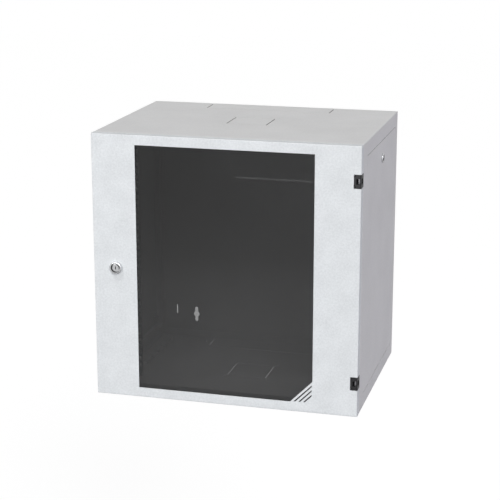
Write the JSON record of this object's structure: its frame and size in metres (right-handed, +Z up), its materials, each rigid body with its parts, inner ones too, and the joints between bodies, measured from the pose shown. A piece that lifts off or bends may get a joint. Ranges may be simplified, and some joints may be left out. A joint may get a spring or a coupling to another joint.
{
  "type": "wall mount network cabinet",
  "caption": "Wall mount network cabinet: steel body with a tinted glass door on hinges, lockable lift-off side panels, cable entries and 19 inch rails.",
  "frame": {"origin": "middle of the flat rear face that lies against the wall", "axes": "+X to the right seen from the front, +Y into the wall, +Z up; the door faces -Y"},
  "size_m": [0.608, 0.457, 0.6],
  "materials": {
    "black_zinc": "black coated die casting",
    "bright_zinc": "bright zinc plate",
    "bumper_rubber": "matt",
    "chrome": "polished",
    "foam_tape": "matt foam tape",
    "powder_coat": "fine textured powder coat, light grey",
    "tinted_glass": "smoked toughened glass",
    "zinc_plate": "galvanised sheet"
  },
  "bodies": {
    "cabinet": {"back_panel": "powder_coat", "bottom_panel": "powder_coat", "door_bumpers": "bumper_rubber", "hinge_bracket_lower": "black_zinc", "hinge_bracket_screws": "bright_zinc", "hinge_bracket_upper": "black_zinc", "hinge_pin_lower": "bright_zinc", "hinge_pin_upper": "bright_zinc", "rack_rail_left": "zinc_plate", "rack_rail_right": "zinc_plate", "rail_bolts": "bright_zinc", "rail_bracket_lower_left": "zinc_plate", "rail_bracket_lower_right": "zinc_plate", "rail_bracket_upper_left": "zinc_plate", "rail_bracket_upper_right": "zinc_plate", "rail_nuts": "bright_zinc", "side_frame_left": "powder_coat", "side_frame_right": "powder_coat", "top_panel": "powder_coat"},
    "door": {"door_frame": "powder_coat", "glass_pane": "tinted_glass", "glass_seal": "foam_tape", "door_studs": "bright_zinc", "door_nuts": "bright_zinc", "lock_housing": "chrome", "lock_nut": "bright_zinc", "glass_retainer_bottom": "zinc_plate", "glass_retainer_left": "zinc_plate", "glass_retainer_right": "zinc_plate", "glass_retainer_top": "zinc_plate", "hinge_leaf_lower": "black_zinc", "hinge_leaf_upper": "black_zinc"},
    "lock_core": {"lock_plug": "chrome", "lock_cam": "bright_zinc", "lock_cam_screw": "bright_zinc"},
    "side_panel_left": {"side_panel_left": "powder_coat", "earth_stud_left": "bright_zinc", "side_lock_housing_left": "chrome", "side_lock_nut_left": "bright_zinc"},
    "side_lock_core_left": {"side_lock_plug_left": "chrome", "side_lock_cam_left": "bright_zinc", "side_lock_cam_screw_left": "bright_zinc"},
    "side_panel_right": {"side_panel_right": "powder_coat", "earth_stud_right": "bright_zinc", "side_lock_housing_right": "chrome", "side_lock_nut_right": "bright_zinc"},
    "side_lock_core_right": {"side_lock_plug_right": "chrome", "side_lock_cam_right": "bright_zinc", "side_lock_cam_screw_right": "bright_zinc"}
  },
  "joints": [
    {"name": "door_hinge", "type": "hinge", "parent": "cabinet", "child": "door", "pos_m": [0.293, -0.44, 0], "axis": [0, 0, 1], "range_deg": [0, 180]},
    {"name": "door_lock_turn", "type": "hinge", "parent": "door", "child": "lock_core", "pos_m": [-0.248, -0.45, 0], "axis": [0, 1, 0], "range_deg": [0, 90]},
    {"name": "side_panel_tilt_right", "type": "hinge", "parent": "cabinet", "child": "side_panel_right", "pos_m": [0.3, -0.205, -0.267], "axis": [0, 1, 0], "range_deg": [0, 20]},
    {"name": "side_panel_tilt_left", "type": "hinge", "parent": "cabinet", "child": "side_panel_left", "pos_m": [-0.3, -0.205, -0.267], "axis": [0, -1, 0], "range_deg": [0, 20]},
    {"name": "side_lock_turn_right", "type": "hinge", "parent": "side_panel_right", "child": "side_lock_core_right", "pos_m": [0.3, -0.205, 0.228], "axis": [1, 0, 0], "range_deg": [0, 90]},
    {"name": "side_lock_turn_left", "type": "hinge", "parent": "side_panel_left", "child": "side_lock_core_left", "pos_m": [-0.3, -0.205, 0.228], "axis": [1, 0, 0], "range_deg": [0, 90]}
  ]
}
